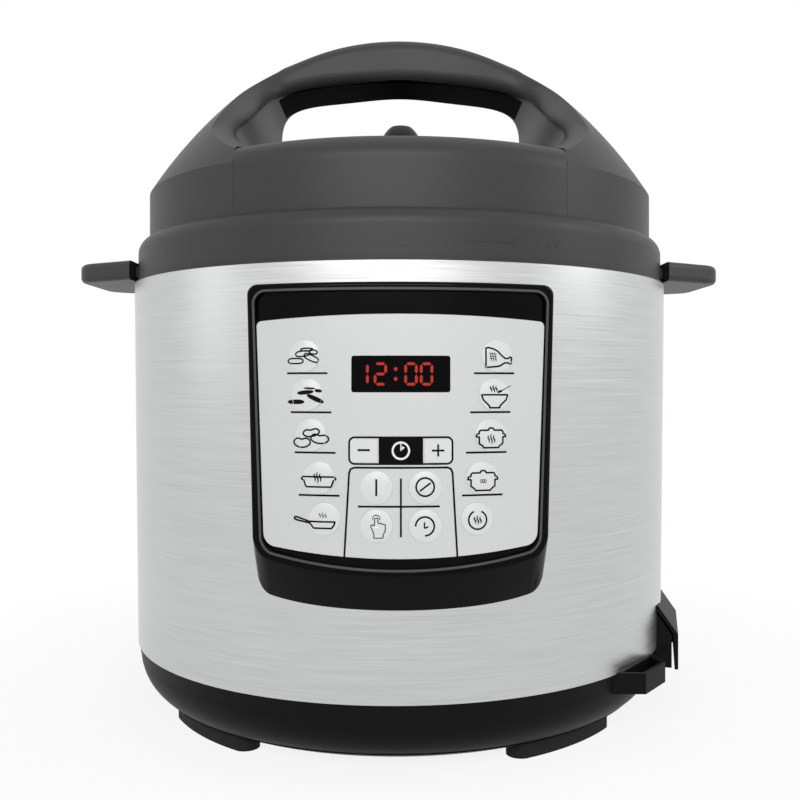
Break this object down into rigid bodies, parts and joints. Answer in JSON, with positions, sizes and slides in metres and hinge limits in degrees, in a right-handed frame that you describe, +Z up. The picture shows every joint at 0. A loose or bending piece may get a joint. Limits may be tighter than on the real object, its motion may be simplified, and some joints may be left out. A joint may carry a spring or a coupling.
{
  "type": "electric pressure cooker",
  "caption": "Free-standing electric pressure cooker: steel drum on a black base, twist-lock lid with an arched handle, and a curved key panel with a display.",
  "frame": {"origin": "on the surface it stands on, at the centre of the drum's axis between the four feet", "axes": "+Z up along the drum's axis, -Y out of the control panel, +X towards the side with the inlet"},
  "size_m": [0.3108, 0.27, 0.3212],
  "materials": {
    "stainless": "horizontally brushed stainless steel",
    "pot_steel": "satin stainless steel",
    "black_satin": "satin black plastic",
    "black_base": "black plastic",
    "black_gloss": "gloss black plastic",
    "grip_black": "matt black grip",
    "panel_silver": "silver printed panel",
    "key_silver": "silver key",
    "window_dark": "dark display window",
    "module_black": "display module",
    "board_green": "circuit board",
    "foot_rubber": "black rubber",
    "seal_silicone": "pale silicone",
    "membrane_grey": "keypad silicone",
    "heater_aluminium": "cast aluminium",
    "housing_aluminium": "pressed aluminium",
    "zinc": "zinc-plated steel",
    "brass": "brass",
    "lead_red": "insulated lead",
    "switch_white": "white switch body",
    "float_steel": "polished steel"
  },
  "bodies": {
    "base": {"outer_shell": "stainless", "base_ring": "black_base", "bottom_plate": "black_base", "feet": "foot_rubber", "bottom_screws": "zinc", "upper_ring": "black_satin", "side_handle_left": "black_satin", "side_handle_right": "black_satin", "outer_pot": "housing_aluminium", "inner_pot": "pot_steel", "heating_plate": "heater_aluminium", "heating_element": "zinc", "sensor_spring": "zinc", "pressure_switch": "switch_white", "thermal_fuse": "switch_white", "power_board": "board_green", "control_bezel": "black_gloss", "control_panel": "panel_silver", "display_window": "window_dark", "display_module": "module_black", "control_board": "board_green", "keypad_membrane": "membrane_grey", "bezel_screws": "zinc", "inlet_hood": "black_base", "power_inlet": "black_base", "inlet_pins": "brass", "side_tray": "black_base", "inlet_leads": "lead_red"},
    "temperature_sensor": {"temperature_sensor": "float_steel"},
    "lid_seal": {"sealing_ring": "seal_silicone", "seal_rack": "pot_steel"},
    "lid": {"lid_cover": "black_satin", "lid_handle": "black_satin", "handle_grip": "grip_black", "lid_screws": "zinc", "inner_lid": "pot_steel", "steam_pipe": "float_steel", "steam_pipe_nut": "zinc", "vent_shield": "pot_steel"},
    "steam_valve": {"steam_valve_knob": "black_gloss"},
    "float_valve": {"float_valve_pin": "float_steel", "float_valve_cap": "seal_silicone"},
    "key_rice": {"key_rice": "key_silver"},
    "key_meat": {"key_meat": "key_silver"},
    "key_wild_rice": {"key_wild_rice": "key_silver"},
    "key_soup": {"key_soup": "key_silver"},
    "key_beans": {"key_beans": "key_silver"},
    "key_stew": {"key_stew": "key_silver"},
    "key_steam": {"key_steam": "key_silver"},
    "key_slow_cook": {"key_slow_cook": "key_silver"},
    "key_saute": {"key_saute": "key_silver"},
    "key_keep_warm": {"key_keep_warm": "key_silver"},
    "key_start": {"key_start": "key_silver"},
    "key_cancel": {"key_cancel": "key_silver"},
    "key_manual": {"key_manual": "key_silver"},
    "key_delay": {"key_delay": "key_silver"},
    "key_minus": {"key_minus": "key_silver"},
    "key_plus": {"key_plus": "key_silver"}
  },
  "joints": [
    {"name": "lid_lift", "type": "slide", "parent": "base", "child": "lid_seal", "axis": [0, 0, 1], "range_m": [0, 0.16]},
    {"name": "lid_turn", "type": "hinge", "parent": "lid_seal", "child": "lid", "pos_m": [0, 0, 0.22], "axis": [0, 0, 1], "range_deg": [0, 30]},
    {"name": "steam_valve_turn", "type": "hinge", "parent": "lid", "child": "steam_valve", "pos_m": [0, 0.058, 0.262], "axis": [0, 0, 1], "range_deg": [0, 90]},
    {"name": "float_valve_rise", "type": "slide", "parent": "lid", "child": "float_valve", "axis": [0, 0, 1], "range_m": [0, 0.005]},
    {"name": "sensor_press", "type": "slide", "parent": "base", "child": "temperature_sensor", "axis": [0, 0, 1], "range_m": [-0.003, 0], "stiffness_N_per_m": 600, "springref_m": 0.004, "deforming": ["sensor_spring"]},
    {"name": "key_rice_press", "type": "slide", "parent": "base", "child": "key_rice", "axis": [0.2623, 0.9641, -0.0419], "range_m": [0, 0.0008], "stiffness_N_per_m": 300},
    {"name": "key_meat_press", "type": "slide", "parent": "base", "child": "key_meat", "axis": [-0.2623, 0.9641, -0.0419], "range_m": [0, 0.0008], "stiffness_N_per_m": 300},
    {"name": "key_wild_rice_press", "type": "slide", "parent": "base", "child": "key_wild_rice", "axis": [0.2531, 0.9665, -0.0419], "range_m": [0, 0.0008], "stiffness_N_per_m": 300},
    {"name": "key_soup_press", "type": "slide", "parent": "base", "child": "key_soup", "axis": [-0.2531, 0.9665, -0.0419], "range_m": [0, 0.0008], "stiffness_N_per_m": 300},
    {"name": "key_beans_press", "type": "slide", "parent": "base", "child": "key_beans", "axis": [0.2411, 0.9696, -0.0419], "range_m": [0, 0.0008], "stiffness_N_per_m": 300},
    {"name": "key_stew_press", "type": "slide", "parent": "base", "child": "key_stew", "axis": [-0.2411, 0.9696, -0.0419], "range_m": [0, 0.0008], "stiffness_N_per_m": 300},
    {"name": "key_steam_press", "type": "slide", "parent": "base", "child": "key_steam", "axis": [0.2176, 0.9751, -0.0419], "range_m": [0, 0.0008], "stiffness_N_per_m": 300},
    {"name": "key_slow_cook_press", "type": "slide", "parent": "base", "child": "key_slow_cook", "axis": [-0.2176, 0.9751, -0.0419], "range_m": [0, 0.0008], "stiffness_N_per_m": 300},
    {"name": "key_saute_press", "type": "slide", "parent": "base", "child": "key_saute", "axis": [0.2015, 0.9786, -0.0419], "range_m": [0, 0.0008], "stiffness_N_per_m": 300},
    {"name": "key_keep_warm_press", "type": "slide", "parent": "base", "child": "key_keep_warm", "axis": [-0.2015, 0.9786, -0.0419], "range_m": [0, 0.0008], "stiffness_N_per_m": 300},
    {"name": "key_start_press", "type": "slide", "parent": "base", "child": "key_start", "axis": [0.0643, 0.9971, -0.0419], "range_m": [0, 0.0008], "stiffness_N_per_m": 300},
    {"name": "key_cancel_press", "type": "slide", "parent": "base", "child": "key_cancel", "axis": [-0.0643, 0.9971, -0.0419], "range_m": [0, 0.0008], "stiffness_N_per_m": 300},
    {"name": "key_manual_press", "type": "slide", "parent": "base", "child": "key_manual", "axis": [0.064, 0.9971, -0.0419], "range_m": [0, 0.0008], "stiffness_N_per_m": 300},
    {"name": "key_delay_press", "type": "slide", "parent": "base", "child": "key_delay", "axis": [-0.064, 0.9971, -0.0419], "range_m": [0, 0.0008], "stiffness_N_per_m": 300},
    {"name": "key_minus_press", "type": "slide", "parent": "base", "child": "key_minus", "axis": [0.0986, 0.9942, -0.0419], "range_m": [0, 0.0008], "stiffness_N_per_m": 300},
    {"name": "key_plus_press", "type": "slide", "parent": "base", "child": "key_plus", "axis": [-0.0986, 0.9942, -0.0419], "range_m": [0, 0.0008], "stiffness_N_per_m": 300}
  ]
}
